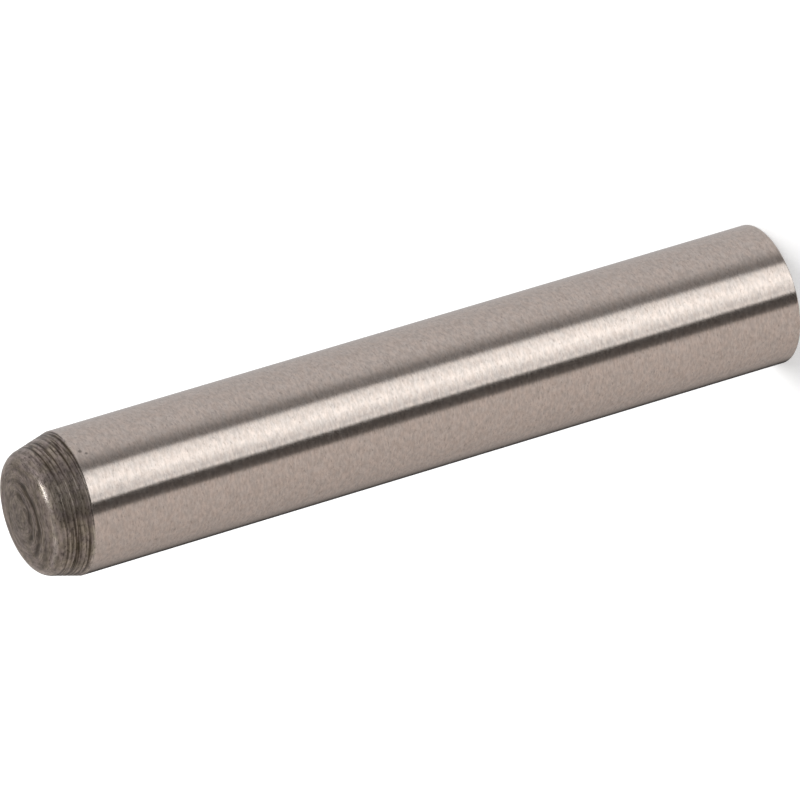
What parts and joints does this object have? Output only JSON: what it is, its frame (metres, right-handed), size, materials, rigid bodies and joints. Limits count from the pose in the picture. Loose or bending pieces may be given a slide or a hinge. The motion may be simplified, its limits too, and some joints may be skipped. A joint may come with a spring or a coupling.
{
  "type": "dowel pin",
  "caption": "Solid cylindrical steel dowel pin with a ground wall, one flat end and one end with a slow lead-in cone, rounded corner and slightly crowned face.",
  "frame": {"origin": "centre of the flat end, on the surface that the pin stands on", "axes": "+Z along the pin's axis, from the flat end towards the lead-in end"},
  "size_m": [0.006, 0.006, 0.035],
  "materials": {
    "ground_steel": "ground wall, with rough-turned cone and end face"
  },
  "bodies": {
    "root": {"dowel_pin": "ground_steel"}
  },
  "joints": []
}
